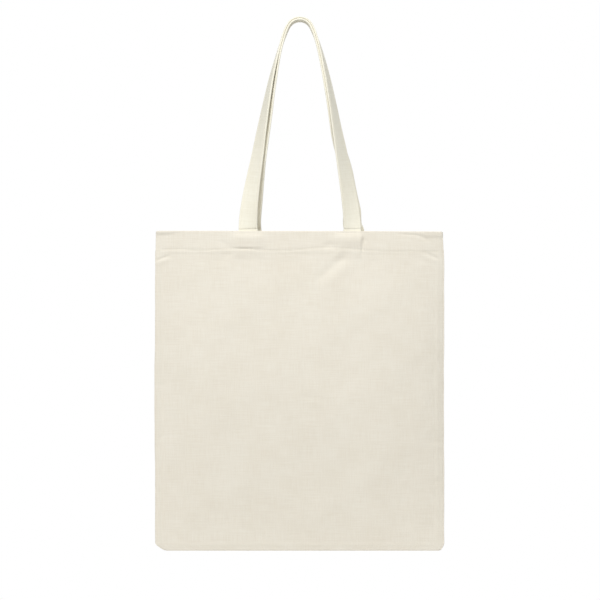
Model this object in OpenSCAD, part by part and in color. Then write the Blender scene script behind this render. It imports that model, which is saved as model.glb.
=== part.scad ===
// Canvas tote bag, hanging from its two handles.
// The origin is the hanging point, on the underside of the inner strap, +Z is up and -Y is the front.

/* [Body] */
// Width of the bag, fold to fold
body_w = 380; // [320:5:460]
// Height of the bag, from the top edge to the bottom fold
body_h = 420; // [350:5:510]
// Depth of the front half at the belly, at the middle of the cloth
belly_bow = 14; // [10:1:30]
// How far down from the top edge the belly is widest
belly_depth = 215; // [150:5:300]
// Clear gap between the two straps at the mouth
mouth_gap = 10; // [6:1:30]

/* [Cloth and seams] */
// Thickness of one layer of canvas
canvas_t = 0.7; // [0.5:0.05:0.9]
// Width of the seam allowance inside the side and bottom seams
seam_allowance = 10; // [7:0.5:14]
// Depth of the turned hem round the mouth
hem_depth = 29; // [25:1:40]
// Height of the hem's stitch row above the hem's lower edge
hem_stitch_up = 2.5; // [1.5:0.5:5]
// Height that the blunt bottom corners take up
corner_h = 10; // [6:1:16]
// How far the bottom left corner is pulled in
corner_in_left = 12; // [0:1:16]
// How far the bottom right corner is pulled in
corner_in_right = 5; // [0:1:16]

/* [Handles] */
// Width of the handle strap
strap_w = 25; // [20:1:32]
// Layers of canvas in the strap
strap_plies = 4; // [3:1:5]
// Distance between the middles of the two ends of a handle
handle_spacing = 135; // [110:5:170]
// How far the back handle's ends lie to the right of the front handle's
back_shift = 4; // [0:0.5:6]
// Drop of the handles, from the hanging point to the top edge of the bag
drop = 275; // [220:5:330]
// Length of the strap's end that is turned up inside the hem
tail_len = 12; // [8:1:16]
// Radius of the bend over the hanging point, midway between the two straps
bend_r = 17; // [13:1:24]

/* [Thread] */
// Diameter of the sewing thread
thread_d = 0.5; // [0.3:0.05:0.6]
// Distance of the strap's stitch rows from its edges
strap_stitch_in = 3; // [2:0.5:5]
// Height of the row that tacks the strap to the hem, below the top edge
tack_down = 4; // [3:0.5:8]

/* [Hidden] */

canvas_colour = [0.91, 0.88, 0.81];
strap_colour = [0.93, 0.91, 0.85];
thread_colour = [0.97, 0.95, 0.90];

// Small gaps that keep the layers apart
lay_gap = 0.15;   // between layers that are sewn together
seam_gap = 0.1;   // between the two panels' allowances
fold_gap = 0.6;   // between the folded handle and the panel it lies on
strap_gap = 1.6;  // between the two straps at the hanging point
hinge_gap = 0.3;  // above the top edge, and again between the sewn end and the handle

// Levels
top_z = -drop;
bottom_z = top_z - body_h;

// The side and bottom folds: radius of the turn at the middle of the cloth
turn_r = (canvas_t + seam_gap) / 2;
edge_y = 3 * turn_r;
edge_x = body_w / 2 - turn_r - canvas_t / 2;
// The hem's fold
fold_r = (canvas_t + lay_gap) / 2;

// The strap
strap_t = strap_plies * canvas_t;
strap_x = handle_spacing / 2;
strap_in = strap_x - strap_w / 2;
strap_out = strap_x + strap_w / 2;
strap_y = mouth_gap / 2 + strap_t / 2;

// The bow of the panel at the mouth puts the hem just outside the straps
bow_power = 4;
function lens(x) = 1 - pow(min(1, abs(x) / edge_x), bow_power);
mouth_y = strap_y + strap_t / 2 + lay_gap + canvas_t / 2 + 2 * fold_r;
mouth_bow = edge_y + (mouth_y - edge_y) / lens(strap_out);

// The strap's end runs down inside the hem, turns under it and ends between hem and panel
tail_clear = mouth_half(strap_in) - 2 * fold_r + canvas_t / 2 + lay_gap;
tail_y = tail_clear + strap_t / 2;
uturn_r = (tail_y - strap_y) / 2;
uturn_y = (tail_y + strap_y) / 2;
uturn_down = hem_depth + lay_gap;
uturn_low = uturn_down + uturn_r + strap_t / 2;
pocket = tail_y + strap_t / 2 + lay_gap + canvas_t / 2 - mouth_half(strap_out);
pocket_side = 1;    // room beside the tail
pocket_slope = 6;   // length over which the cloth comes back
pocket_top = uturn_down - tail_len - pocket_side;
pocket_low = uturn_low + pocket_side;
hem_zone = pocket_low + pocket_slope;

// The hinge lies on the top edge of the hem, where the strap folds over it
hinge_y = (mouth_half(strap_in) + canvas_t / 2 + fold_gap + strap_y + strap_t / 2) / 2;

// Half depth of the bag's middle line at a depth below the top edge
function bow(down) =
    down < hem_zone ? mouth_bow
    : down < belly_depth
        ? mouth_bow + (belly_bow - mouth_bow) * sin(90 * (down - hem_zone) / (belly_depth - hem_zone))
    : edge_y + (belly_bow - edge_y) * cos(90 * (down - belly_depth) / (body_h - belly_depth));

function mouth_half(x) = edge_y + (mouth_bow - edge_y) * lens(x);
function half_depth(x, down) = edge_y + (bow(down) - edge_y) * lens(x);

// 1 inside a band, falling to 0 over the slope beside it
function band(v, low, high, slope) =
    v < low ? max(0, 1 - (low - v) / slope) : v > high ? max(0, 1 - (v - high) / slope) : 1;
function bulge(x, down) =
    pocket * band(abs(x), strap_in - pocket_side, strap_out + pocket_side, pocket_slope)
    * band(down, pocket_top, pocket_low, pocket_slope);

// The bottom corners pull the cloth in over their height
function corner_pull(x, down) =
    let (share = max(0, 1 - (body_h - down) / corner_h))
    1 - share * (x < 0 ? corner_in_left : corner_in_right) / (body_w / 2);

// Evenly spaced steps from a to b, without a
function steps(a, b, count) = [for (k = [1:count]) a + (b - a) * k / count];
function reversed(list) = [for (k = [len(list) - 1:-1:0]) list[k]];

// Columns of the cloth: the kind is 0 for the face, 1 for the turn and 2 for the allowance
face_x = concat(
    [0],
    steps(0, strap_in - pocket_side - pocket_slope, 2),
    [strap_in - pocket_side, strap_out + pocket_side, strap_out + pocket_side + pocket_slope],
    steps(strap_out + pocket_side + pocket_slope, edge_x - canvas_t, 5),
    [edge_x]
);
right_columns = concat(
    [for (x = face_x) [x, 0]],
    [[edge_x + turn_r, 1], [edge_x, 2], [body_w / 2 - seam_allowance, 2]]
);
columns = concat(
    [for (c = reversed(right_columns)) if (c[0] > 0) [-c[0], c[1]]],
    right_columns
);
margin_cells = 4;

// The side allowances are clipped above the bottom one, so this is how far down they reach
side_low = body_h - max(seam_allowance, corner_h) - corner_h / 2;

// Rows of the cloth, upwards on the face: -2 bottom allowance, -1 bottom turn, 0 face, 1 top turn, 2 hem
face_down = concat(
    [body_h - turn_r - canvas_t / 2, body_h - corner_h / 2, body_h - corner_h],
    [side_low],
    steps(side_low - corner_h / 2, hem_zone, 10),
    [pocket_low, pocket_top, pocket_top - pocket_slope, fold_r + canvas_t / 2]
);
rows = concat(
    [[body_h - seam_allowance, -2], [body_h - turn_r - canvas_t / 2, -2], [body_h - canvas_t / 2, -1]],
    [for (d = face_down) [d, 0]],
    [[canvas_t / 2, 1], [fold_r + canvas_t / 2, 2], [hem_depth / 2, 2], [hem_depth, 2]]
);

// The back panel's cloth lies to the right between its seams, where the straps hang
still_x = strap_out + pocket_side + pocket_slope;
function shifted(x, shift) = x + shift * band(abs(x), 0, still_x, edge_x - still_x);

// Middle of the cloth and the direction that its outer side faces, for the front panel
function cloth_point(c, r, shift) =
    let (x = shifted(c[0], shift) * corner_pull(c[0], r[0]), z = top_z - r[0], side = sign(c[0]))
    r[1] == -2 ? [[x, -turn_r, z], [0, 1, 0]]
    : r[1] == -1 ? [[x, -2 * turn_r, z], [0, 0, -1]]
    : r[1] == 1 ? [[x, -half_depth(c[0], 0) + fold_r, z], [0, 0, 1]]
    : r[1] == 2 ? [[x, -half_depth(c[0], 0) + 2 * fold_r, z], [0, 1, 0]]
    : c[1] == 1 ? [[x, -2 * turn_r, z], [side, 0, 0]]
    : c[1] == 2 ? [[x, -turn_r, z], [0, 1, 0]]
    : [[x, -half_depth(c[0], r[0]) - bulge(c[0], r[0]), z], [0, -1, 0]];

// Is there cloth between columns i and i + 1, and rows j and j + 1?
function is_cloth(i, j) =
    i < 0 || j < 0 || i > len(columns) - 2 || j > len(rows) - 2 ? false
    : let (
        allowance = i == 0 || i == len(columns) - 2,
        margin = i < margin_cells || i > len(columns) - 2 - margin_cells
    )
    rows[j][1] != 0 || rows[j + 1][1] != 0 ? !margin
    : allowance ? rows[j][0] < body_h - seam_allowance - canvas_t && rows[j + 1][0] >= hem_zone - 0.01
    : true;

// A thin closed solid from a grid of points, its outer and inner side, and where there is cloth
module cloth_solid(shift) {
    wide = len(columns);
    high = len(rows);
    grid = [for (r = rows) for (c = columns) cloth_point(c, r, shift)];
    outer = [for (g = grid) g[0] + g[1] * canvas_t / 2];
    inner = [for (g = grid) g[0] - g[1] * canvas_t / 2];
    n = wide * high;
    faces = [
        for (j = [0:high - 2]) for (i = [0:wide - 2]) if (is_cloth(i, j))
            let (a = j * wide + i, b = a + 1, c = b + wide, d = a + wide)
            each concat(
                [[a, d, c], [a, c, b], [a + n, c + n, d + n], [a + n, b + n, c + n]],
                is_cloth(i, j - 1) ? [] : [[a, b, b + n], [a, b + n, a + n]],
                is_cloth(i + 1, j) ? [] : [[b, c, c + n], [b, c + n, b + n]],
                is_cloth(i, j + 1) ? [] : [[c, d, d + n], [c, d + n, c + n]],
                is_cloth(i - 1, j) ? [] : [[d, a, a + n], [d, a + n, d + n]]
            )
    ];
    polyhedron(points = concat(outer, inner), faces = faces, convexity = 8);
}

module at_back() {
    mirror([0, 1, 0]) children();
}

module beside() {
    translate([back_shift, 0, 0]) children();
}

module at_left() {
    mirror([1, 0, 0]) children();
}

// A closed solid through rings of equally many points
module ring_solid(rings) {
    count = len(rings);
    sides = len(rings[0]);
    faces = concat(
        [[for (k = [0:sides - 1]) k]],
        [[for (k = [sides - 1:-1:0]) (count - 1) * sides + k]],
        [
            for (j = [0:count - 2]) for (k = [0:sides - 1])
                let (a = j * sides + k, b = j * sides + (k + 1) % sides)
                each [[a, a + sides, b + sides], [a, b + sides, b]]
        ]
    );
    polyhedron(points = [for (r = rings) each r], faces = faces, convexity = 8);
}

module panel(shift = 0) {
    color(canvas_colour) cloth_solid(shift);
}

// The lockstitch row of a side seam, between the two allowances
module side_seam_thread() {
    color(thread_colour)
        translate([edge_x - thread_d, 0, top_z - side_low])
            cylinder(d = thread_d, h = side_low - hem_zone, $fn = 24);
}

module bottom_seam_thread() {
    left = edge_x - corner_in_left - seam_allowance;
    right = edge_x - corner_in_right - seam_allowance;
    color(thread_colour)
        translate([-left, 0, bottom_z + canvas_t / 2 + turn_r + thread_d])
            rotate([0, 90, 0])
                cylinder(d = thread_d, h = left + right, $fn = 24);
}

// Overlock thread wraps the raw edges of both allowances
overlock_w = 3;
overlock_t = 2 * canvas_t + seam_gap + thread_d;
module side_overlock() {
    color(thread_colour)
        translate([body_w / 2 - seam_allowance - thread_d, -overlock_t / 2, top_z - side_low])
            cube([overlock_w, overlock_t, side_low - hem_zone]);
}

module bottom_overlock() {
    left = edge_x - corner_in_left - seam_allowance;
    right = edge_x - corner_in_right - seam_allowance;
    color(thread_colour)
        translate([-left, -overlock_t / 2, bottom_z + seam_allowance + thread_d - overlock_w])
            cube([left + right, overlock_t, overlock_w]);
}

// A square-cut thread along a line of points, with the directions of its two sides
function thread_ring(at, u, v) =
    [for (k = [0:5]) at + thread_d / 2 * (cos(60 * k) * u + sin(60 * k) * v)];

// The hem's stitch row, between the panel and its hem
module hem_thread(shift = 0) {
    end = face_x[len(face_x) - 2];
    xs = [for (x = face_x) if (x <= end) x];
    line = concat([for (x = reversed(xs)) if (x > 0) -x], xs);
    color(thread_colour)
        ring_solid([
            for (x = line)
                thread_ring(
                    [shifted(x, shift), -half_depth(x, 0) + fold_r, top_z - hem_depth + hem_stitch_up],
                    [0, 1, 0],
                    [0, 0, 1]
                )
        ]);
}

// The sewn end of a strap: down the inside of the hem, round its lower edge and up behind the panel
module strap_end_profile() {
    translate([-strap_y - strap_t / 2, -uturn_down])
        square([strap_t, uturn_down + hinge_gap]);
    translate([-tail_y - strap_t / 2, -uturn_down])
        square([strap_t, tail_len]);
    translate([-uturn_y, -uturn_down])
        difference() {
            circle(r = uturn_r + strap_t / 2, $fn = 48);
            circle(r = uturn_r - strap_t / 2, $fn = 48);
            translate([-uturn_low, 0])
                square([2 * uturn_low, uturn_low]);
        }
}

module strap_end() {
    color(strap_colour)
        translate([strap_in, 0, top_z])
            rotate([90, 0, 90])
                linear_extrude(height = strap_w)
                    strap_end_profile();
}

// The row that tacks a strap to the hem near the top edge
module tack() {
    inset = strap_stitch_in;
    color(thread_colour)
        translate([strap_in + inset, -strap_y - strap_t / 2 - lay_gap / 2, top_z - tack_down])
            rotate([0, 90, 0])
                cylinder(d = thread_d, h = strap_w - 2 * inset, $fn = 24);
}

// The line midway between the two straps: an arc over the hanging point, then a curve down to the mouth
bend_angle = 60;
bend_pull = 42;
foot_pull = 60;
foot_lean = 7;
apex_gap = strap_t + strap_gap;
apex_z = apex_gap / 2 + strap_t / 2;
foot_z = top_z + 2 * hinge_gap;
limb_start = [bend_r * sin(bend_angle), apex_z - bend_r * (1 - cos(bend_angle))];
limb_points = [
    limb_start,
    limb_start + bend_pull * [cos(bend_angle), -sin(bend_angle)],
    [strap_x - foot_pull * sin(foot_lean), foot_z + foot_pull * cos(foot_lean)],
    [strap_x, foot_z],
];
function bezier(p, t) =
    pow(1 - t, 3) * p[0] + 3 * pow(1 - t, 2) * t * p[1] + 3 * (1 - t) * t * t * p[2] + pow(t, 3) * p[3];
function bezier_way(p, t) =
    3 * pow(1 - t, 2) * (p[1] - p[0]) + 6 * (1 - t) * t * (p[2] - p[1]) + 3 * t * t * (p[3] - p[2]);

// Each stop of the right half holds its place and its direction, in X and Z
bend_steps = 6;
limb_steps = 20;
right_line = concat(
    [
        for (k = [0:bend_steps - 1])
            let (a = bend_angle * k / bend_steps)
            [[bend_r * sin(a), apex_z - bend_r * (1 - cos(a))], [cos(a), -sin(a)]]
    ],
    [
        for (k = [0:limb_steps])
            let (way = bezier_way(limb_points, k / limb_steps))
            [bezier(limb_points, k / limb_steps), way / norm(way)]
    ]
);
left_line = [
    for (k = [len(right_line) - 1:-1:1])
        let (p = right_line[k])
        [[-p[0][0], p[0][1]], [p[1][0], -p[1][1]]]
];
handle_line = concat(left_line, right_line);

// The strap faces the front at the mouth and turns edge-on towards the top, fastest just above the mouth
twist_h = 260;
twist_ease = 0.01;
// The two straps come together over this height above the mouth
together_h = 110;
// The strap's foot is level, and leans in over this height
level_h = 15;
function smooth(v) = v * v * (3 - 2 * v);
function share_up(p, height) = max(0, min(1, (p[0][1] - foot_z) / height));
function strap_way(p) =
    let (way = [p[1][0] * smooth(share_up(p, level_h)), p[1][1]])
    way / norm(way);
function strap_twist(p) =
    let (start = sqrt(twist_ease))
    90 * (sqrt(share_up(p, twist_h) + twist_ease) - start) / (sqrt(1 + twist_ease) - start);
function strap_face(p) =
    let (a = strap_twist(p), way = strap_way(p))
    [-sin(a) * way[1], -cos(a), sin(a) * way[0]];
function strap_across(p) =
    let (way = strap_way(p))
    cross(strap_face(p), [way[0], 0, way[1]]);
function nearing(p) = smooth(share_up(p, together_h));
function strap_apart(p) = 2 * strap_y + (apex_gap - 2 * strap_y) * nearing(p);

// which is 1 for the front strap, on top, and -1 for the back strap, under it
function strap_shift(p, which) = which > 0 ? 0 : back_shift * pow(1 - nearing(p), 2);
function strap_middle(p, which) =
    [p[0][0] + strap_shift(p, which), 0, p[0][1]] + which * strap_apart(p) / 2 * strap_face(p);

module handle_strap(which) {
    color(strap_colour)
        ring_solid([
            for (p = handle_line)
                let (
                    m = strap_middle(p, which),
                    w = strap_across(p) * strap_w / 2,
                    f = strap_face(p) * strap_t / 2
                )
                [m + w + f, m + w - f, m - w - f, m - w + f]
        ]);
}

// Two stitch rows, each half sunk into the strap's outward face
module handle_edge_threads(which) {
    color(thread_colour)
        for (side = [-1, 1])
            ring_solid([
                for (p = handle_line)
                    let (
                        w = strap_across(p),
                        f = strap_face(p),
                        on_face = strap_middle(p, which) + strap_t / 2 * f,
                        at = on_face + side * (strap_w / 2 - strap_stitch_in) * w
                    )
                    thread_ring(at, f, w)
            ]);
}

panel();  // front_panel
at_back() panel(back_shift);  // back_panel
at_left() side_seam_thread();  // left_side_seam_thread
side_seam_thread();  // right_side_seam_thread
bottom_seam_thread();
at_left() side_overlock();  // left_overlock
side_overlock();  // right_overlock
bottom_overlock();
hem_thread();  // front_hem_thread
at_back() hem_thread(back_shift);  // back_hem_thread
at_left() strap_end();  // front_left_strap_end
strap_end();  // front_right_strap_end
beside() at_left() at_back() strap_end();  // back_left_strap_end
beside() at_back() strap_end();  // back_right_strap_end
at_left() tack();  // front_left_tack
tack();  // front_right_tack
beside() at_left() at_back() tack();  // back_left_tack
beside() at_back() tack();  // back_right_tack
handle_strap(1);  // front_handle_strap
handle_strap(-1);  // back_handle_strap
handle_edge_threads(1);  // front_handle_edge_threads
handle_edge_threads(-1);  // back_handle_edge_threads
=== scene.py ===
# %% [markdown]
# # A canvas tote bag, hanging from its two handles
# The real bag is cut from one kind of cloth: unbleached cotton canvas. Two panels are sewn together along
# the sides and the bottom, the mouth is turned in to a hem, and each handle is a strip of the same canvas
# folded to four layers and caught in the hem. Each of those pieces is made here as its own surface, over
# the frame that holds their sizes, so a piece goes where the frame says with no fitting.

import bpy
import numpy as np
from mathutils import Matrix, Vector


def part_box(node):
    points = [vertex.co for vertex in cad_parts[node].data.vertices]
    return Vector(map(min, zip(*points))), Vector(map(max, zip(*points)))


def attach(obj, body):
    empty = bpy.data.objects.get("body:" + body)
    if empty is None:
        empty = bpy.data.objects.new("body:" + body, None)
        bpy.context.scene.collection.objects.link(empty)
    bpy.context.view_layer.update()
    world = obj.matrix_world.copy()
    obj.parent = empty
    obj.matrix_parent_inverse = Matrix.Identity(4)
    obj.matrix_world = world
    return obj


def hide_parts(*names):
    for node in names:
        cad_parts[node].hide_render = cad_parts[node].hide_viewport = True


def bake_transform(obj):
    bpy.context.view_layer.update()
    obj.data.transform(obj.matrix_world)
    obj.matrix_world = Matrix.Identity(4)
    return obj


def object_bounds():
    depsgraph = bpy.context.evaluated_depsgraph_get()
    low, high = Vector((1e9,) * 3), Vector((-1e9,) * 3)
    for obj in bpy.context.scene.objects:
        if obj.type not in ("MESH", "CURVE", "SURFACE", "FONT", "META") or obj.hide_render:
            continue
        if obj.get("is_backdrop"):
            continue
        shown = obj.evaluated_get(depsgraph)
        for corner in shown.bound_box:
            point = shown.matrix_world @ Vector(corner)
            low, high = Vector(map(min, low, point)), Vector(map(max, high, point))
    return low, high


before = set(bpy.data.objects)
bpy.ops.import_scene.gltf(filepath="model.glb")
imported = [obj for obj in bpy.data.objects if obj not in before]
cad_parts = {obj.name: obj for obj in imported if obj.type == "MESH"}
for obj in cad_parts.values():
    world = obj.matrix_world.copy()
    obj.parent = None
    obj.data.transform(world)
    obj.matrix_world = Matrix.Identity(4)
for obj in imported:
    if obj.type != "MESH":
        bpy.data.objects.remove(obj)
frame_low, frame_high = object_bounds()
print("frame box in metres", tuple(frame_low), tuple(frame_high))

# %% [markdown]
# ## Sizes
# Cloth is measured in millimetres, so the shapes are worked out in millimetres and turned to metres when a
# mesh is made. Everything that the frame knows is read from it. Only what it can't say, such as the
# thickness of one layer of canvas, is given here.

# %% Sizes from the frame
MM = 0.001
CANVAS = 0.7
# between layers that lie loose on each other, and between layers that are sewn together
LAY_GAP, SEAM_GAP = 0.15, 0.1
THREAD_D = 0.5
STITCHED_UP = 2.5
ALLOWANCE = 10.0


def box(node):
    """The lowest and highest corner of a node of the frame, in millimetres."""
    low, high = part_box(node)
    return np.array(low) / MM, np.array(high) / MM


panel_low, panel_high = box("front_panel")
HALF_W, TOP = panel_high[0], panel_high[2]
BODY_H = TOP - panel_low[2]
BELLY = -panel_low[1] - CANVAS / 2
TURN_R = (CANVAS + SEAM_GAP) / 2
FOLD_R = (CANVAS + LAY_GAP) / 2
EDGE_Y = 3 * TURN_R
EDGE_X = HALF_W - TURN_R - CANVAS / 2

end_low, end_high = box("front_right_strap_end")
STRAP_IN, STRAP_OUT = end_low[0], end_high[0]
STRAP_W = STRAP_OUT - STRAP_IN
STRAP_X = (STRAP_IN + STRAP_OUT) / 2
STRAP_T = 4 * CANVAS
STRAP_Y = -end_high[1] + STRAP_T / 2
BACK_SHIFT = box("back_right_strap_end")[0][0] - STRAP_IN

HEM_ROW = TOP - box("front_hem_thread")[0][2] - THREAD_D / 2
HEM_DEPTH = HEM_ROW + STITCHED_UP
print(f"body {2 * HALF_W:.0f} x {BODY_H:.0f}, strap {STRAP_W:.0f} wide, hem row {HEM_ROW:.1f} down")

# %% [markdown]
# ## Small curves
# Cloth never turns a sharp corner, so every swelling, fold and pinch of the bag is put together from three
# smooth curves: a step, a rounded hill and a flat-topped rise. They all take whole arrays.


# %% Steps and hills
def smooth(v):
    """0 below 0, 1 above 1, and 3v² - 2v³ between them."""
    v = np.clip(v, 0, 1)
    return v * v * (3 - 2 * v)


def hill(v, middle, half_width):
    """A rounded hill: e to the power of minus ((v - middle) / half_width)²."""
    return np.exp(-(((v - middle) / half_width) ** 2))


def rise(v, low, high, slope):
    """1 from low to high, with a smooth slope of that length outside each end."""
    return smooth((v - low) / slope + 1) * smooth((high - v) / slope + 1)


def spaced(start, end, step):
    """Even steps from start to end, about that long, with both ends."""
    return np.linspace(start, end, max(2, round(abs(end - start) / step) + 1))


def unit(v):
    """Vectors made one long."""
    return v / np.linalg.norm(v, axis=-1, keepdims=True)


# %% [markdown]
# ## From arrays to meshes
# A surface is a grid of points, row after row, and each cell of the grid is a four-sided face. The cloth's
# own length and width at each point go into a UV map in metres, so that the weave follows the cloth round
# its folds.


# %% Make a mesh from points and faces
def grid_faces(rows, columns, keep=None):
    """The four corners of every cell of a grid, or of the kept cells."""
    corner = np.arange(rows * columns).reshape(rows, columns)
    faces = np.stack([corner[:-1, :-1], corner[:-1, 1:], corner[1:, 1:], corner[1:, :-1]], axis=-1)
    return faces[np.ones(faces.shape[:2], bool) if keep is None else keep]


def ring_faces(rings, sides):
    """The cells between neighbouring rings of a tube, closed round."""
    corner = np.arange(rings * sides).reshape(rings, sides)
    after = np.roll(corner, -1, axis=1)
    return np.stack([corner[:-1], after[:-1], after[1:], corner[1:]], axis=-1).reshape(-1, 4)


def turned_out(points, faces):
    """The faces, turned round if the closed shape's signed volume says that they point inwards."""
    a, b, c, d = (points[faces[:, k]] for k in range(4))
    volume = (np.cross(b - a, c - a) * a).sum() + (np.cross(c - a, d - a) * a).sum()
    return faces[:, ::-1] if volume < 0 else faces


def make_object(name, points, faces, material, uv=None):
    """A smooth mesh object at the origin, with points and UVs given in millimetres."""
    mesh = bpy.data.meshes.new(name)
    mesh.from_pydata(points * MM, [], faces)
    mesh.polygons.foreach_set("use_smooth", np.ones(len(mesh.polygons), bool))
    if uv is not None:
        corner = np.empty(len(mesh.loops), np.int32)
        mesh.loops.foreach_get("vertex_index", corner)
        mesh.uv_layers.new(name="cloth").uv.foreach_set("vector", (uv[corner] * MM).ravel())
    mesh.materials.append(material)
    made = bpy.data.objects.new(name, mesh)
    bpy.context.scene.collection.objects.link(made)
    print(f"{name}: {len(mesh.vertices)} points, {len(mesh.polygons)} faces")
    return made


# %% [markdown]
# ## Camera, light and floor
# The bag hangs at eye level in front of a white studio, far enough from a long lens that its sides stay
# parallel. One broad lamp to the upper left gives the straps their light and dark sides, one close above
# the front lets the cloth darken gently towards the bottom, one behind keeps the back from going dull, and
# the white room fills the shadows. The floor is small and lies well below the bag.

# %% Camera
LENS = 125.0
SENSOR = 36.0
# width of the view at the bag's front, and the point that the camera looks at
VIEW_W = 0.786
FRONT_Y = -0.01
VIEW_X, VIEW_Z = 0.0004, -0.3655

camera = bpy.data.objects.new("camera", bpy.data.cameras.new("camera"))
camera.data.lens = LENS
camera.data.sensor_width = SENSOR
camera.location = (VIEW_X, FRONT_Y - VIEW_W * LENS / SENSOR, VIEW_Z)
camera.rotation_euler = (np.pi / 2, 0, 0)
bpy.context.scene.collection.objects.link(camera)
bpy.context.scene.camera = camera
print("camera distance", round(-camera.location.y, 3))


# %% Nodes and colours
def linear(code, alpha=1.0):
    """A linear colour from its sRGB hex code: c / 12.92 to 0.04045, ((c + 0.055) / 1.055)^2.4 above."""
    c = np.array([int(code[k : k + 2], 16) for k in (1, 3, 5)]) / 255
    return (*np.where(c <= 0.04045, c / 12.92, ((c + 0.055) / 1.055) ** 2.4), alpha)


def add(tree, kind, inputs=None, **settings):
    """Adds a node with its settings. An input is a value, or another node's socket to link."""
    node = tree.nodes.new(kind)
    for key, value in settings.items():
        setattr(node, key, value)
    for key, value in (inputs or {}).items():
        if isinstance(value, bpy.types.NodeSocket):
            tree.links.new(value, node.inputs[key])
        else:
            node.inputs[key].default_value = value
    return node


def new_tree(owner):
    """The owner's empty node tree."""
    owner.use_nodes = True
    owner.node_tree.nodes.clear()
    return owner.node_tree


# %% Light
ROOM_WHITE = 1.0
ROOM_FILL = 0.465
KEY_POWER, KEY_SIZE, KEY_PLACE = 46.0, 1.2, Vector((-2.8, -2.5, 1.7))
TOP_POWER, TOP_SIZE, TOP_PLACE = 12.0, 1.0, Vector((0.1, -0.95, 0.75))
REAR_POWER, REAR_SIZE, REAR_PLACE = 26.0, 1.6, Vector((0.0, 2.6, 0.9))
LIGHT_AIM = Vector((0, 0, -0.3))

world = bpy.data.worlds.new("white_room")
bpy.context.scene.world = world
tree = new_tree(world)
seen = add(tree, "ShaderNodeLightPath")
white = add(tree, "ShaderNodeBackground", {"Color": (1, 1, 1, 1), "Strength": ROOM_WHITE})
fill = add(tree, "ShaderNodeBackground", {"Color": linear("#fbfdff"), "Strength": ROOM_FILL})
both = add(
    tree,
    "ShaderNodeMixShader",
    {"Fac": seen.outputs["Is Camera Ray"], 1: fill.outputs[0], 2: white.outputs[0]},
)
add(tree, "ShaderNodeOutputWorld", {"Surface": both.outputs[0]})

for name, power, size, place in (
    ("key", KEY_POWER, KEY_SIZE, KEY_PLACE),
    ("overhead", TOP_POWER, TOP_SIZE, TOP_PLACE),
    ("rear", REAR_POWER, REAR_SIZE, REAR_PLACE),
):
    lamp = bpy.data.objects.new(name, bpy.data.lights.new(name, "AREA"))
    lamp.data.shape = "DISK"
    lamp.data.size = size
    lamp.data.energy = power
    lamp.location = place
    lamp.rotation_euler = (LIGHT_AIM - place).to_track_quat("-Z", "Y").to_euler()
    bpy.context.scene.collection.objects.link(lamp)
    print(name, "lamp", round((LIGHT_AIM - place).length, 2), "m from the bag")
bpy.context.scene.view_settings.view_transform = "Standard"

# %% Floor
FLOOR_Z = -0.86
FLOOR_R = 0.62
floor_paint = bpy.data.materials.new("matt_floor_paint")
tree = new_tree(floor_paint)
place = add(tree, "ShaderNodeTexCoord")
grain = add(tree, "ShaderNodeTexNoise", {"Vector": place.outputs["Object"], "Scale": 60.0, "Detail": 4.0})
tone = add(tree, "ShaderNodeMix", {"Factor": grain.outputs["Fac"]}, data_type="RGBA")
tone.inputs[6].default_value = linear("#f1f0ee")
tone.inputs[7].default_value = linear("#f6f5f3")
paint = add(tree, "ShaderNodeBsdfPrincipled", {"Base Color": tone.outputs[2], "Roughness": 0.7})
add(tree, "ShaderNodeOutputMaterial", {"Surface": paint.outputs[0]})

turn, far = np.meshgrid(np.linspace(0, 2 * np.pi, 97), np.linspace(0.002, 1, 12))
disc = np.stack([far * np.cos(turn), far * np.sin(turn), 0 * far], axis=-1) * FLOOR_R / MM
disc[..., 2] = FLOOR_Z / MM
floor = make_object("floor", disc.reshape(-1, 3), grid_faces(*turn.shape), floor_paint)
floor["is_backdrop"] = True

# %% [markdown]
# ## Unbleached cotton canvas
# The cloth is a plain weave of undyed, scoured cotton: a warm off-white, quite matt, with a soft bloom
# where loose fibre ends catch the light. Up close each thread passes over and under its neighbours, and
# thick places in the hand-soft yarn, called slubs, show as short streaks along and across the cloth. The
# real threads lie about 0.5 mm apart, too fine for a picture of the whole bag, so they are drawn 0.9 mm
# apart. The strap uses the same cloth with its threads packed closer by the folding and sewing.


# %% Woven cloth material
# each slub's width and length in millimetres, along and across the cloth
SLUB_ALONG, SLUB_ACROSS = (1.4, 22), (30, 1.2)
# how much painted shade darkens the weave's low places and how much the mottled bleaching changes the
# colour, and how high slubs and threads stand
WEAVE_PAINTED_SHADE, MOTTLE_TONE = -0.10, 0.5
SLUB_HEIGHT, THREAD_HEIGHT = 0.8, 0.12


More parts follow.
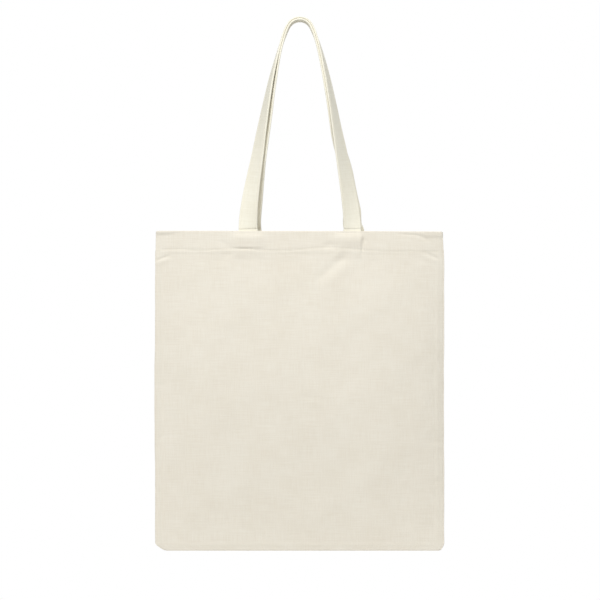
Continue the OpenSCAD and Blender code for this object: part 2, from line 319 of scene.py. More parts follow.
def woven(name, light, shade, thread, slub, bump):
    """Plain weave: sin(pi u / thread) sin(pi v / thread), with painted shade in its low places, and slubs
    as noise stretched along u and v.
    """
    made = bpy.data.materials.new(name)
    tree = new_tree(made)
    cloth = add(tree, "ShaderNodeUVMap", uv_map="cloth").outputs[0]
    place = add(tree, "ShaderNodeTexCoord").outputs["Object"]
    turns = np.pi / (thread * MM)
    phase = add(tree, "ShaderNodeVectorMath", {0: cloth, 1: (turns, turns, 0)}, operation="MULTIPLY")
    split = add(tree, "ShaderNodeSeparateXYZ", {0: phase.outputs[0]})
    warp = add(tree, "ShaderNodeMath", {0: split.outputs[0]}, operation="SINE")
    weft = add(tree, "ShaderNodeMath", {0: split.outputs[1]}, operation="SINE")
    weave = add(tree, "ShaderNodeMath", {0: warp.outputs[0], 1: weft.outputs[0]}, operation="MULTIPLY")

    def streaks(size, seed):
        """Noise whose spots have that size along u and v."""
        scale = (1 / (size[0] * MM), 1 / (size[1] * MM), 1)
        stretched = add(
            tree, "ShaderNodeMapping", {"Vector": cloth, "Location": (seed, seed, 0), "Scale": scale}
        )
        noise = add(
            tree,
            "ShaderNodeTexNoise",
            {"Vector": stretched.outputs[0], "Scale": 1.0, "Detail": 2.0, "Roughness": 0.6},
            noise_dimensions="2D",
        )
        return noise.outputs["Fac"]

    both_ways = {0: streaks(SLUB_ALONG, 3.0), 1: streaks(SLUB_ACROSS, 7.0)}
    slubs = add(tree, "ShaderNodeMath", both_ways, operation="ADD")
    mottle = add(
        tree,
        "ShaderNodeTexNoise",
        {"Vector": place, "Scale": 26.0, "Detail": 3.0, "Roughness": 0.55},
    )
    slub_tone = add(tree, "ShaderNodeMath", {0: slubs.outputs[0], 1: -1.0}, operation="ADD")
    slub_share = add(tree, "ShaderNodeMath", {0: slub_tone.outputs[0], 1: slub}, operation="MULTIPLY")
    # painted shade: where the weave runs low the colour goes towards the darker tone, added to the slubs'
    # own tone
    weave_shade_and_slubs = add(
        tree,
        "ShaderNodeMath",
        {0: weave.outputs[0], 1: WEAVE_PAINTED_SHADE, 2: slub_share.outputs[0]},
        operation="MULTIPLY_ADD",
    )
    mottle_share = add(
        tree,
        "ShaderNodeMath",
        {0: mottle.outputs["Fac"], 1: MOTTLE_TONE, 2: weave_shade_and_slubs.outputs[0]},
        operation="MULTIPLY_ADD",
        use_clamp=True,
    )
    tone = add(tree, "ShaderNodeMix", {"Factor": mottle_share.outputs[0]}, data_type="RGBA")
    tone.inputs[6].default_value = linear(light)
    tone.inputs[7].default_value = linear(shade)
    height = add(
        tree,
        "ShaderNodeMath",
        {0: slub_tone.outputs[0], 1: SLUB_HEIGHT, 2: weave.outputs[0]},
        operation="MULTIPLY_ADD",
    )
    relief = add(
        tree,
        "ShaderNodeBump",
        {"Height": height.outputs[0], "Strength": bump, "Distance": thread * MM * THREAD_HEIGHT},
    )
    surface = add(
        tree,
        "ShaderNodeBsdfPrincipled",
        {
            "Base Color": tone.outputs[2],
            "Normal": relief.outputs[0],
            "Roughness": 0.88,
            "Specular IOR Level": 0.25,
            "Sheen Weight": 0.12,
            "Sheen Roughness": 0.5,
        },
    )
    add(tree, "ShaderNodeOutputMaterial", {"Surface": surface.outputs[0]})
    return made


canvas_cloth = woven("unbleached_cotton_canvas", "#f2ecde", "#e3d9c6", 0.9, 0.55, 0.55)
strap_cloth = woven("folded_cotton_canvas", "#f5f1e1", "#e6dfca", 0.8, 0.6, 0.6)
print("materials", canvas_cloth.name, strap_cloth.name)

# %% [markdown]
# ## Sewing thread
# The seams are sewn with spun polyester thread in the cloth's own colour, a little whiter and glossier than
# the cotton. It is two yarns twisted together, so its surface shows fine slanting ridges.

# %% Thread material
thread_yarn = bpy.data.materials.new("spun_polyester_thread")
tree = new_tree(thread_yarn)
place = add(tree, "ShaderNodeTexCoord").outputs["Object"]
ridges = add(
    tree,
    "ShaderNodeTexWave",
    {"Vector": place, "Scale": 900.0, "Distortion": 1.5, "Detail": 1.0},
    bands_direction="DIAGONAL",
)
fuzz = add(tree, "ShaderNodeTexNoise", {"Vector": place, "Scale": 400.0, "Detail": 2.0})
tone = add(tree, "ShaderNodeMix", {"Factor": fuzz.outputs["Fac"]}, data_type="RGBA")
tone.inputs[6].default_value = linear("#ece6d3")
tone.inputs[7].default_value = linear("#f8f4e6")
relief = add(tree, "ShaderNodeBump", {"Height": ridges.outputs["Fac"], "Strength": 0.5, "Distance": 0.0001})
surface = add(
    tree,
    "ShaderNodeBsdfPrincipled",
    {
        "Base Color": tone.outputs[2],
        "Normal": relief.outputs[0],
        "Roughness": 0.62,
        "Specular IOR Level": 0.35,
        "Sheen Weight": 0.1,
    },
)
add(tree, "ShaderNodeOutputMaterial", {"Surface": surface.outputs[0]})
print("material", thread_yarn.name)

# %% [markdown]
# ## The shape of a panel
# Hung by its straps, the bag is a flat pocket that swells a little: each panel bows out from its two side
# folds, most at the belly, and comes back to the bottom fold. At the mouth the hem keeps it nearly
# straight, with the sewn strap ends pushing it out. Seen across, the bow follows 1 - (x / half the
# width)^4. The panel could be a cloth simulation, but this bag was pressed and hangs almost flat, with its
# few folds in known places, so a formula holds them better.

# %% The bow of a panel
BELLY_DOWN = 215.0
# the side allowances are sewn from below the hem to above the bottom corners
HEM_ZONE = HEM_DEPTH + 10.5
SIDE_LOW = BODY_H - 15.0


def lens(x):
    """1 in the middle and 0 at the side folds: 1 - (|x| / half the width)^4."""
    return 1 - np.minimum(1, np.abs(x) / EDGE_X) ** 4


MOUTH_Y = STRAP_Y + STRAP_T / 2 + LAY_GAP + CANVAS / 2 + 2 * FOLD_R
MOUTH_BOW = EDGE_Y + (MOUTH_Y - EDGE_Y) / lens(STRAP_OUT)


def bow(down):
    """Half depth of the middle: level in the hem, a quarter sine to the belly, a quarter cosine back in."""
    swell = np.sin(np.pi / 2 * np.clip((down - HEM_ZONE) / (BELLY_DOWN - HEM_ZONE), 0, 1))
    back = np.cos(np.pi / 2 * np.clip((down - BELLY_DOWN) / (BODY_H - BELLY_DOWN), 0, 1))
    upper = MOUTH_BOW + (BELLY - MOUTH_BOW) * swell
    return np.where(down < BELLY_DOWN, upper, EDGE_Y + (BELLY - EDGE_Y) * back)


# %% [markdown]
# ## The sewn strap ends under the hem
# A strap runs down inside the hem, turns round the hem's lower edge and comes up again between hem and
# panel, where the hem's stitch row catches it. The lump pushes the panel out, and just above the stitch row
# the cloth steps back in along a short hard crease. The right end was sewn a little askew, so its step is
# softer and its outer side shows as an upright fold.

# %% Swelling over the strap ends
TACK_DOWN = 4.0
TAIL_TOP = HEM_DEPTH - 13.0
# how far the cloth is pushed out below the mouth, and how far it comes in again: softly, at the step, below
PUSHED_OUT, SETTLED, STEPPED_IN, LEFT_OVER = 1.9, 0.35, 0.95, 0.6
TAIL_THICK = 1.9


def over_strap(x, slope_in=6.0, slope_out=6.0):
    """1 over a strap end and 0 away from it, across the cloth."""
    far = np.abs(x)
    return smooth((far - STRAP_IN + 1) / slope_in + 1) * smooth((STRAP_OUT + 1 - far) / slope_out + 1)


def strap_swell(x, down, side):
    """Outward push over the strap ends: out below the mouth, then in again, most at the stitch row."""
    crisp = (x < 0) if side == "front" else (x > 0)
    step = np.where(crisp, smooth((down - 20.6) / 2.8), smooth((down - 13) / 12))
    out = PUSHED_OUT * smooth((down - 0.5) / 9) - SETTLED * smooth((down - 12) / 7) - STEPPED_IN * step
    out = out - LEFT_OVER * smooth((down - HEM_DEPTH - 1) / 8)
    flank = np.where(crisp, over_strap(x, 13.0, 11.0), over_strap(x, 14.0, 2.2))
    return out * flank


def tail_room(x, down):
    """How far the hem's inner layer stands off the panel to make room for the turned-up strap end."""
    return TAIL_THICK * over_strap(x, 5.0, 5.0) * rise(down, TAIL_TOP, HEM_DEPTH + 4, 5.0)


# %% [markdown]
# ## Puckers, creases and slack
# Three kinds of small relief make the cloth look sewn and handled. Seams pull the cloth into puckers that
# start at the stitches and die out inwards. Pressing leaves soft creases. And the slack of the loose weave
# gives shallow swells a few centimetres wide. A pucker is a groove or a ridge along a short line, and the
# slack is a sum of sines whose directions come from one seeded draw.


# %% Relief of the cloth
def fold(x, down, start, end, half_width, height):
    """A ridge, or below zero a groove, along the line from start to end, dying out at both ends."""
    run = np.array(end, float) - np.array(start, float)
    length = np.hypot(*run)
    along = ((x - start[0]) * run[0] + (down - start[1]) * run[1]) / length**2
    across = ((x - start[0]) * run[1] - (down - start[1]) * run[0]) / length
    return height * hill(across, 0, half_width) * rise(along, 0.25, 0.75, 0.35)


# each fold: where it starts and ends, across and down, its half width and its height, all in millimetres
FRONT_FOLDS = [
    # the shade lines at the top edge over the right strap and in the right corner
    ((50, 1.7), (80, 1.7), 0.8, -0.90),
    ((128, 3.5), (164, 6), 0.9, -0.75),
    ((156, 4), (172, 13), 1.1, -0.60),
    # the hard crease where the hem's stitch row catches the left strap, and the soft one beside it
    ((-82, 23.4), (-60, 23.0), 0.8, -0.75),
    ((-108, 14), (-84, 23), 4.0, -0.45),
    ((30, 20), (54, 16), 4.0, -0.60),
    # the fold down the outer side of the right strap's end
    ((82.2, 9), (81.6, 33), 0.9, -1.30),
    ((83, 9), (88, 15), 2.0, -0.50),
    # the pulls at the two ends of the hem's stitch row
    ((-189, 39), (-170, 32), 1.6, -0.83),
    ((-189, 43), (-168, 37), 2.2, 0.45),
    ((160, 26), (184, 37), 1.6, -0.75),
    ((158, 30), (182, 42), 2.4, 0.38),
    # the soft pull below the right strap
    ((63, 30), (20, 66), 6.0, -1.12),
    ((72, 36), (34, 74), 8.0, 0.68),
    ((36, 14), (48, 30), 5.0, -0.60),
    # the pull below the left strap
    ((-84, 26), (-112, 44), 5.0, -0.38),
    # a pressed crease on the middle of the body
    ((-2, 216), (34, 222), 2.4, -0.33),
    ((0, 221), (30, 227), 3.0, 0.27),
    # the pulls along the side seams
    ((172, 275), (189, 279), 2.0, -0.60),
    ((170, 281), (189, 284), 2.6, 0.45),
    ((173, 330), (189, 328), 2.2, -0.52),
    ((174, 150), (189, 147), 2.0, -0.27),
    ((-189, 200), (-174, 203), 2.2, -0.45),
    ((-189, 272), (-172, 268), 2.4, -0.52),
    ((-189, 121), (-177, 119), 2.0, -0.24),
    ((-189, 344), (-176, 347), 2.2, -0.33),
]
BACK_FOLDS = [
    ((-189, 36), (-168, 30), 1.8, -0.75),
    ((166, 28), (187, 38), 2.0, -0.75),
    ((-52, 32), (-18, 60), 6.0, -0.90),
    ((86, 30), (116, 52), 6.0, -0.68),
    ((-40, 190), (6, 204), 3.0, -0.38),
    ((172, 160), (189, 163), 2.0, -0.45),
    ((173, 302), (189, 299), 2.2, -0.52),
    ((-189, 232), (-173, 228), 2.2, -0.52),
    ((-189, 326), (-174, 329), 2.2, -0.45),
]


def hem_row_down(x, side):
    """Depth of the hem's stitch row, which was sewn by eye and wanders by a few millimetres."""
    if side == "front":
        return HEM_ROW + 0.3 - 2.4 * hill(x, -165, 35) - 3.8 * hill(x, -85, 32) - 5.0 * hill(x, 38, 45)
    return HEM_ROW + 0.2 - 3.2 * hill(x, -120, 50) - 2.6 * hill(x, 70, 60)


def waves(x, down, seed, lengths, steepness):
    """A sum of sines of those lengths, each in a direction of its own and length times steepness high."""
    draw = np.random.default_rng(seed)
    total = np.zeros(np.broadcast(x, down).shape)
    for length in lengths:
        angle, shift = draw.uniform(0, np.pi), draw.uniform(0, 2 * np.pi)
        wave = np.cos(angle) * x + np.sin(angle) * down
        total = total + length * steepness * np.sin(2 * np.pi * wave / length + shift)
    return total


def slack(x, down, side):
    """Long shallow swells, a fraction of a millimetre high, that fade towards the seams."""
    total = waves(x, down, 7 if side == "front" else 23, (150, 118, 92, 74, 58, 45), 0.0018)
    return total * smooth((EDGE_X - 4 - np.abs(x)) / 45) * rise(down, HEM_ZONE + 45, BODY_H - 60, 50)


def crinkle(x, down, side):
    """Finer, lower waves that break up the light."""
    total = waves(x, down, 11 if side == "front" else 31, np.linspace(9, 26, 14), 0.0011)
    return total * smooth((EDGE_X - 2 - np.abs(x)) / 14) * rise(down, 12, BODY_H - 22, 10)


# how far the mouth's corners curl out
LIP_LEFT, LIP_RIGHT = 1.5, 0.9


def lip(x, down, side):
    """The mouth's corners curl out: a push that grows to the top edge, beyond a line slanting outwards."""
    mirror = 1 if side == "front" else -1
    left = smooth((-x * mirror - 138) / 42)
    right = smooth((x * mirror - 136) / 34)
    out = LIP_LEFT * left * smooth((6.5 * left - down) / 5)
    return out + LIP_RIGHT * right * smooth((3 + 6 * right - down) / 4)


# how deep rows of stitches sink, how high the hem and the raw edges show, and how far the folds turn away
HEM_PINCH, TACK_PINCH, HEM_STEP = 0.48, 0.22, 0.36
SIDE_RIDGE, LOW_RIDGE, RIDGE_HALF, TURNED_AWAY = 0.24, 0.22, 2.6, 0.4


def relief(x, down, side):
    """All the small outward moves of a panel's cloth together."""
    total = slack(x, down, side) + crinkle(x, down, side) + lip(x, down, side)
    for start, end, half_width, height in FRONT_FOLDS if side == "front" else BACK_FOLDS:
        total = total + fold(x, down, start, end, half_width, height)
    # the stitch row and the tack rows pinch the layers, and the hem's lower edge shows as a low step
    from_side = EDGE_X - np.abs(x)
    total = total - HEM_PINCH * hill(down, hem_row_down(x, side), 1.1) * smooth((from_side - 3) / 6)
    total = total + HEM_STEP * smooth((HEM_DEPTH + 1.5 - down) / 3) * smooth((from_side - 4) / 16)
    total = total - TACK_PINCH * over_strap(x, 1.5, 1.5) * hill(down, TACK_DOWN, 1.0)
    # the raw edges of the seam allowances show through as low ridges
    side_ridge = hill(from_side, ALLOWANCE - 2, RIDGE_HALF) * rise(down, HEM_ZONE, BODY_H - 14, 10)
    low_ridge = hill(BODY_H - down, ALLOWANCE - 2, RIDGE_HALF) * smooth((from_side - 12) / 8)
    # and right at the side folds the cloth turns away
    turned = smooth(1 - from_side / 2.6) * smooth((down - 1) / 3)
    return total + SIDE_RIDGE * side_ridge + LOW_RIDGE * low_ridge - TURNED_AWAY * turned


print("folds drawn by hand:", len(FRONT_FOLDS), "front,", len(BACK_FOLDS), "back")

# %% [markdown]
# ## Where a point of the cloth lies
# One function places any point of a panel: how far across, how far down from the mouth, and how far inside
# the middle of the outer layer. The panel's mesh, the stitches and the allowances all use it, so they stay
# together when a size changes. It also narrows the mouth a little, where the turned hem draws the sides in,
# and pulls the blunt bottom corners in.

# %% Place of the cloth
CORNER_H = 10.0
CORNER_IN = {"left": 13.5, "right": 5.4}
MOUTH_TILT = 0.45


def half_depth(x, down):
    """Half depth without the relief: the bow, spread by the lens."""
    return EDGE_Y + (bow(down) - EDGE_Y) * lens(x)


def sideways(x, down, side):
    """The point's own x: drawn in at the mouth and the low corners, and moved right on the back."""
    still = STRAP_OUT + 7
    shift = 0 if side == "front" else BACK_SHIFT
    moved = x + shift * np.clip((EDGE_X - np.abs(x)) / (EDGE_X - still), 0, 1)
    share = moved / EDGE_X
    right_in = 1.3 * smooth((45 - down) / 45) + 0.5 * hill(down, 220, 60) + 0.4 * smooth((25 - down) / 2)
    left_in = 0.5 * smooth((40 - down) / 40) - 1.0 * hill(down, 220, 70) + 0.4 * smooth((27 - down) / 2)
    wander = 0.22 * np.sin(down / 11.0 + 1) * np.sin(down / 37.0) * smooth((down - 30) / 20)
    near = np.abs(share) ** 3
    drawn = moved - near * np.where(share > 0, right_in + wander, -left_in + wander)
    low = np.maximum(0, 1 - (BODY_H - down) / CORNER_H) ** 1.5
    corner = np.where(x < 0, CORNER_IN["left"], CORNER_IN["right"])
    return drawn * (1 - low * corner / HALF_W)


def out_of(side):
    """The outward direction of a panel along Y."""
    return -1.0 if side == "front" else 1.0


def height_of(x, down):
    """Z of the cloth: the depth below the mouth, with the mouth a touch lower on the right."""
    return TOP - down - MOUTH_TILT * (x / EDGE_X) * smooth((70 - down) / 70)


def outer_layer(x, down, side):
    """How far the middle of the outer layer stands off the bag's middle plane."""
    return half_depth(x, down) + strap_swell(x, down, side) + relief(x, down, side)


def on_panel(x, down, inside=0.0, side="front"):
    """The place of a cloth point that lies that far inside the middle of the panel's outer layer."""
    out = outer_layer(x, down, side) - inside
    x, down, out = np.broadcast_arrays(x, down, out)
    return np.stack([sideways(x, down, side), out_of(side) * out, height_of(x, down)], axis=-1)


print("mouth, front, middle:", np.round(on_panel(0.0, 0.0), 2))

# %% [markdown]
# ## The two panels
# Each panel is one sheet: hem, turn at the mouth, face, turn at the bottom fold and allowance, and the same
# across with a turned allowance down each side. It is a grid with close rows and columns where the cloth
# turns and wide ones on the plain face. Solidify gives it the thickness of the canvas, half to each side.

# %% Build a panel
TURN_STEPS = 7


def panel_columns():
    """Across: place on the face, how far round the side turn from 0 to 1, and the width along the cloth."""
    face = np.concatenate(
        [spaced(0, 48, 3), spaced(48, 88, 1.6)[1:], spaced(88, 174, 3)[1:], spaced(174, EDGE_X, 1.1)[1:]]
    )
    turn = np.linspace(0, 1, TURN_STEPS)[1:]
    flap = spaced(EDGE_X, HALF_W - ALLOWANCE, 2)[1:]
    x = np.concatenate([face, np.full(len(turn), EDGE_X), flap])
    round_turn = np.concatenate([0 * face, turn, 0 * flap + 1])
    run = np.pi * TURN_R
    width = np.concatenate([face, EDGE_X + run * turn, EDGE_X + run + EDGE_X - flap])
    mirrored = [np.concatenate([s * a[:0:-1], a]) for a, s in ((x, -1), (round_turn, 1), (width, -1))]
    return mirrored


def panel_rows():
    """Down: depth, how far inside, how far round the bottom turn from 0 to 1, and whether it is hem."""
    top_turn = np.linspace(0, np.pi, TURN_STEPS)[1:-1]
    low_turn = np.linspace(0, 1, TURN_STEPS)[1:]
    top, low = CANVAS / 2 + FOLD_R, BODY_H - CANVAS / 2 - TURN_R
    hem = spaced(HEM_DEPTH, top, 1.6)
    face = np.concatenate([spaced(top, 45, 1.3), spaced(45, 400, 3)[1:], spaced(400, low, 1.5)[1:]])
    flap = spaced(low, BODY_H - ALLOWANCE, 2)[1:]
    under = low + TURN_R * np.sin(np.pi * low_turn)
    down = np.concatenate([hem, top - FOLD_R * np.sin(top_turn), face, under, flap])
    over = FOLD_R * (1 + np.cos(top_turn))
    inside = np.concatenate([0 * hem + 2 * FOLD_R, over, 0 * face, 0 * under, 0 * flap])
    round_turn = np.concatenate([0 * hem, 0 * top_turn, 0 * face, low_turn, 0 * flap + 1])
    is_hem = np.arange(len(down)) < len(hem) + len(top_turn)
    return down, inside, round_turn, is_hem


def make_panel(name, side):
    """The panel as one grid, with rows from the hem's edge over the mouth, down and round the bottom."""
    x, side_turn, width = panel_columns()
    down, inside, low_turn, is_hem = panel_rows()
    grid_x, grid_down = np.meshgrid(x, down)
    deep = inside[:, None] + np.where(is_hem[:, None], tail_room(grid_x, grid_down), 0)
    points = on_panel(grid_x, grid_down, deep, side)
    # round the turns the cloth goes from the fold's outer layer to the allowance's middle plane
    around = np.maximum(side_turn[None, :], low_turn[:, None])
    turned = EDGE_Y - TURN_R * (1 - np.cos(np.pi * around))
    points[..., 1] = np.where(around > 0, out_of(side) * turned, points[..., 1])
    points[..., 0] += np.sign(grid_x) * TURN_R * np.sin(np.pi * side_turn)[None, :]
    margin = (side_turn > 0) | (np.abs(x) > EDGE_X - CANVAS)
    plain = margin[:-1] | margin[1:]
    folded = is_hem | (low_turn > 0)
    folded_row = folded[:-1] | folded[1:]
    flap = (side_turn >= 1)[:-1] & (side_turn >= 1)[1:]
    sewn = (down[:-1] >= HEM_ZONE) & (down[1:] <= SIDE_LOW)
    keep = ~(folded_row[:, None] & plain[None, :]) & ~(flap[None, :] & ~sewn[:, None])
    step = np.linalg.norm(np.diff(points[:, len(x) // 2], axis=0), axis=-1)
    length = np.concatenate([[0], np.cumsum(step)])
    uv = np.stack(np.broadcast_arrays(width[None, :], length[:, None]), axis=-1)
    faces = grid_faces(*grid_x.shape, keep)
    used, faces = np.unique(faces, return_inverse=True)
    faces = faces.reshape(-1, 4)
    faces = faces[:, ::-1] if side == "front" else faces
    made = make_object(name, points.reshape(-1, 3)[used], faces, canvas_cloth, uv.reshape(-1, 2)[used])
    wall = made.modifiers.new("canvas thickness", "SOLIDIFY")
    wall.thickness = CANVAS * MM
    wall.offset = 0
    print(f"{name}: cut {width.max() - width.min():.0f} x {length[-1]:.0f} mm")
    return made, ((width.max() - width.min()) * MM, length[-1] * MM)


panels, panel_cut = {}, {}
for side in ("front", "back"):
    panels[side], panel_cut[side] = make_panel(f"{side}_panel_canvas", side)
    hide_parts(f"{side}_panel")
    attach(panels[side], "bag")

# %% [markdown]
# ## The line that a handle follows
# The bag hangs from a peg, so both handles run up together, over a small round bend and down again. Midway
# between the two straps lies one smooth line: an arc over the hanging point, then a long curve down to each
# sewn end. Sewn flat to the hem, a strap faces the front at the mouth. At the top it lies over the peg and
# faces up, so on the way it turns a quarter round, most quickly just above the mouth where nothing holds
# it.

# %% Middle line, turn and spacing of the straps
BEND_R, BEND_ANGLE, BEND_PULL = 17.0, np.pi / 3, 42.0
FOOT_PULL, FOOT_LEAN = 60.0, np.radians(7)
APEX_GAP = box("front_handle_strap")[1][2] - STRAP_T
APEX_Z = (APEX_GAP + STRAP_T) / 2
FOOT_Z = TOP + 0.6
TWIST_H, TWIST_EASE, TOGETHER_H, LEVEL_H = 260.0, 0.01, 110.0, 15.0
# thickness of a strap above the mouth, and how much further apart the straps are where they hang loose
PRESSED, LOOSE_BY = 2.45, 1.5
# the right limb of both straps hangs a little outwards and turned back, as it was sewn askew
LIMB_OUT, LIMB_BACK = 1.5, 0.055
END_X = {("front", -1): 67.5, ("front", 1): 69.0, ("back", -1): 67.0, ("back", 1): 68.4}


def half_line():
    """Right half of the line in X and Z, and its direction: an arc, then a cubic Bezier curve down."""
    turn = spaced(0, BEND_ANGLE, 0.02)[:-1, None]
    arc = BEND_R * np.hstack([np.sin(turn), np.cos(turn) - 1]) + [0, APEX_Z]
    t = np.linspace(0, 1, 600)[:, None]
    a = np.array([BEND_R * np.sin(BEND_ANGLE), APEX_Z - BEND_R * (1 - np.cos(BEND_ANGLE))])
    b = a + BEND_PULL * np.array([np.cos(BEND_ANGLE), -np.sin(BEND_ANGLE)])
    d = np.array([STRAP_X, FOOT_Z])
    c = d + FOOT_PULL * np.array([-np.sin(FOOT_LEAN), np.cos(FOOT_LEAN)])
    curve = (1 - t) ** 3 * a + 3 * (1 - t) ** 2 * t * b + 3 * (1 - t) * t**2 * c + t**3 * d
    way = (1 - t) ** 2 * (b - a) + 2 * (1 - t) * t * (c - b) + t**2 * (d - c)
    return np.vstack([arc, curve]), np.vstack([np.hstack([np.cos(turn), -np.sin(turn)]), unit(way)])


def share_up(z, height):
    """0 at the strap's foot and 1 at that height above it."""
    return np.clip((z - FOOT_Z) / height, 0, 1)


def between_middles(up, hand):
    """Distance between the straps' middles: free of each other low down, pressed together at the top."""
    loose = np.where(hand < 0, smooth((240 - up) / 45), smooth((140 - up) / 35))
    high = PRESSED + LAY_GAP + LOOSE_BY * loose
    return 2 * STRAP_Y + (high - 2 * STRAP_Y) * smooth(up / TOGETHER_H)


def back_strays(up, hand):
    """How far the back strap strays from its place: sideways on both limbs, and back on the right one."""
    left = 4.0 * np.exp(-up / 12) + 1.3 * hill(up, 140, 45)
    right = 3.4 * np.exp(-up / 14) + 6.4 * smooth(up / 31) * smooth((138 - up) / 66)
    behind = 4.9 * hill(up, 90, 60)
    return np.where(hand < 0, left, right), np.where(hand < 0, 0, behind)


def hanging_part(side):
    """Middle and across direction of one strap from the left foot, over the bend, to the right foot."""
    line, way = half_line()
    line = np.vstack([line[:0:-1] * [-1, 1], line])
    way = np.vstack([way[:0:-1] * [1, -1], way])
    z, hand = line[:, 1], np.sign(line[:, 0])
    up = np.clip(z - FOOT_Z, 0, None)
    way = unit(way * np.stack([smooth(share_up(z, LEVEL_H)), np.ones(len(z))], axis=-1))
    ease, full = np.sqrt(TWIST_EASE), np.sqrt(1 + TWIST_EASE)
    turn = np.pi / 2 * (np.sqrt(share_up(z, TWIST_H) + TWIST_EASE) - ease) / (full - ease)
    turn = turn - np.where(hand > 0, LIMB_BACK, 0) * hill(up, 205, 50)
    face = np.stack([-np.sin(turn) * way[:, 1], -np.cos(turn), np.sin(turn) * way[:, 0]], axis=-1)
    across = np.cross(face, np.stack([way[:, 0], 0 * z, way[:, 1]], axis=-1))
    x = line[:, 0] + np.where(hand > 0, LIMB_OUT, 0) * np.exp(-up / 30)
    middle = np.stack([x, 0 * z, z], axis=-1)
    middle = middle - out_of(side) * between_middles(up, hand)[:, None] / 2 * face
    if side == "back":
        aside, behind = back_strays(up, hand)
        middle = middle + np.stack([aside, behind, 0 * z], axis=-1)
    return middle, across


above = hanging_part("front")[0]
print("front strap, hanging part:", round(np.linalg.norm(np.diff(above, axis=0), axis=-1).sum()), "mm long")

# %% [markdown]
# ## The sewn ends
# A handle is one strap from end to end. Each end goes down inside the hem, turns round the hem's lower edge
# and comes up between hem and panel, so that the hem's stitch row catches it twice. The four layers are
# squeezed thin by the sewing there. The end is placed by how far it lies inside the panel's outer layer,
# one layer after the other, so it follows the panel's lumps and folds.

# %% Path of a sewn end
SQUEEZED, PINCHED = 1.8, 0.3
TAIL_MID = CANVAS / 2 + SEAM_GAP + SQUEEZED / 2
TURN_DOWN = HEM_DEPTH - 0.2
PATH_STEP = 0.4
# the front right end is narrower than the strap's full width by this share
NARROWED = 0.09


def sewn_thickness(down):
    """Full thickness at the mouth, squeezed further down, and pinched under the tack row."""
    return STRAP_T - (STRAP_T - SQUEEZED) * smooth(down / 7) - PINCHED * hill(down, TACK_DOWN, 1.0)


def strap_inside(down):
    """How far the strap's middle lies inside the panel: past the hem's inner layer and half the strap."""
    return 2 * FOLD_R + tail_room(STRAP_X, down) + CANVAS / 2 + SEAM_GAP + sewn_thickness(down) / 2


def sewn_part(side, hand):
    """From the mouth down inside the hem, round its edge and up to the end: middle, thickness and depth."""
    down = spaced(0, TURN_DOWN, PATH_STEP)
    low_mid = (strap_inside(TURN_DOWN) + TAIL_MID) / 2
    radius = (strap_inside(TURN_DOWN) - TAIL_MID) / 2
    turn = np.linspace(0, np.pi, 16)[1:-1]
    up = spaced(TURN_DOWN, TAIL_TOP + 1, PATH_STEP)
    depth = np.concatenate([down, TURN_DOWN + radius * np.sin(turn), up])
    inside = np.concatenate([strap_inside(down), low_mid + radius * np.cos(turn), 0 * up + TAIL_MID])
    thick = np.concatenate([sewn_thickness(down), 0 * turn + SQUEEZED, 0 * up + SQUEEZED])
    return on_panel(np.full(len(depth), hand * END_X[side, hand]), depth, inside, side), thick, depth


def whole_strap(side):
    """Both sewn ends and the hanging part as one path, with all that its surface needs at each stop."""
    hanging, across = hanging_part(side)
    left, left_thick, left_down = (a[::-1] for a in sewn_part(side, -1))
    right, right_thick, right_down = sewn_part(side, 1)
    up = hanging[:, 2] - FOOT_Z
    miss = np.where(hanging[:, :1] < 0, left[-1] - hanging[0], right[0] - hanging[-1])
    hanging = hanging + smooth(1 - up / 14)[:, None] * miss * [1, 1, 0]
    middle = np.vstack([left, hanging, right])
    flat = np.ones((len(left), 1)) * [-1.0, 0, 0]
    across = np.vstack([flat, across, -flat])
    length = np.concatenate([[0], np.cumsum(np.linalg.norm(np.diff(middle, axis=0), axis=-1))])
    way = unit(np.gradient(middle, length, axis=0))
    face = unit(np.cross(way, across))
    rest = STRAP_T - (STRAP_T - PRESSED) * smooth((up - 20) / 60)
    askew = (side == "front") & (middle[:, 0] > 0)
    narrow = np.where(askew, NARROWED, 0) * smooth(1 - (middle[:, 2] - FOOT_Z) / 110)
    return {
        "length": length,
        "middle": middle,
        "face": face,
        "across": unit(np.cross(face, way)),
        "thick": np.concatenate([left_thick, rest, right_thick]),
        "down": np.concatenate([left_down, TOP - hanging[:, 2], right_down]),
        "home": np.sign(middle[:, 0]),
        "wide": 1 - narrow,
    }


def stops(strap, length):
    """The path's values at chosen lengths along it, between the stops on either side."""
    found = {}
    for name, value in strap.items():
        columns = value.reshape(len(value), -1).T
        found[name] = np.stack([np.interp(length, strap["length"], c) for c in columns], axis=-1).reshape(
            len(length), *value.shape[1:]
        )
    return found


straps = {side: whole_strap(side) for side in ("front", "back")}
STRAP_LENGTH = {side: strap["length"][-1] for side, strap in straps.items()}
print("strap lengths", {side: round(length) for side, length in STRAP_LENGTH.items()})

# %% [markdown]
# ## The strap's surface
# A strip four times as wide is folded to the middle and folded again, which leaves one plain folded edge
# and one edge where two folds meet with a fine slit between them. Two stitch rows pinch the strap 3 mm in
# from its edges. Where it leaves the hem it has been pressed over the edge, which left a crease across its
# outer face and spread it slightly below.

# %% Section of a strap and its place
ROUND = 1.1
STITCH_IN, STITCH_PINCH = 3.0, 0.2
# the pressed crease: how far above the mouth, half its width, and its depth outside and inside
CREASE_UP, CREASE_HALF, CREASE_OUT, CREASE_IN = 2.3, 0.7, 0.7, 0.18
SPREAD = 0.45
CUPPED = 0.35


def strap_section():
    """Upper half of the outline: a round folded edge, the face, and one small fold of the other edge."""
    half = STRAP_W / 2
    edge = np.radians([15, 42, 68])
    small = np.radians([60, 22, -18, -58])
    face = spaced(-half + ROUND, half - STRAP_T / 4, 0.75)
    left, right = -half + ROUND * (1 - np.cos(edge)), half - STRAP_T / 4 * (1 - np.cos(small))
    across = np.concatenate([left, face, right])
    height = np.concatenate([np.sin(edge), np.ones(len(face)), 0.5 + 0.5 * np.sin(small)])
    return across, height


